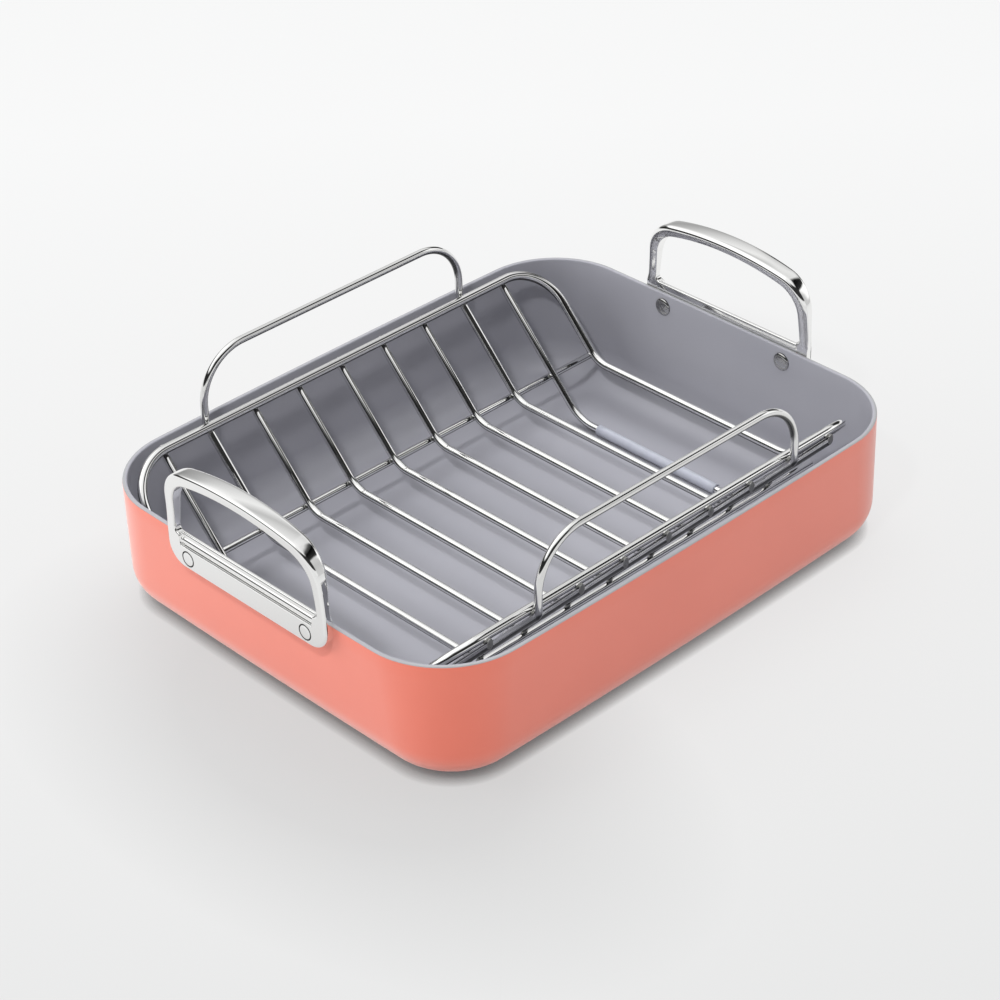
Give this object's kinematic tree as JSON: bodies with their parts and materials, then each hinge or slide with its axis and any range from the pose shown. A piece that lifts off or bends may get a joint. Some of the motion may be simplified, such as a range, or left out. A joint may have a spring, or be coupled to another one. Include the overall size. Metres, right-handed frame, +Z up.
{
  "type": "roasting pan with rack",
  "caption": "Deep rectangular roasting pan with rounded corners and two riveted cast loop grips, holding a loose wire cradle rack with raised bails and sleeved feet.",
  "frame": {"origin": "middle of the pan's flat base, on the surface that it stands on", "axes": "+Z up; X along the pan from grip to grip; Y across it; the near grip in the picture is at -X and the near long side at -Y"},
  "size_m": [0.4202, 0.315, 0.141],
  "materials": {
    "coated_pan": "satin ceramic coating, coral outside and grey inside",
    "cast_grip": "polished cast stainless steel",
    "rivet": "polished",
    "rack_wire": "bright drawn stainless wire",
    "silicone_sleeve": "translucent pale blue silicone"
  },
  "bodies": {
    "pan": {"pan_body": "coated_pan", "grip_left": "cast_grip", "grip_right": "cast_grip", "rivet_left_front": "rivet", "rivet_left_back": "rivet", "rivet_right_front": "rivet", "rivet_right_back": "rivet"},
    "rack": {"rack_frame": "rack_wire", "handle_loop": "rack_wire", "cross_wire_1": "rack_wire", "cross_wire_2": "rack_wire", "cross_wire_3": "rack_wire", "cross_wire_4": "rack_wire", "cross_wire_5": "rack_wire", "foot_wire_left": "rack_wire", "foot_wire_right": "rack_wire", "long_wire_front": "rack_wire", "long_wire_back": "rack_wire", "sleeve_left": "silicone_sleeve", "sleeve_right": "silicone_sleeve"}
  },
  "joints": [
    {"name": "rack_lift", "type": "slide", "parent": "pan", "child": "rack", "axis": [0, 0, 1], "range_m": [0, 0.14]}
  ]
}
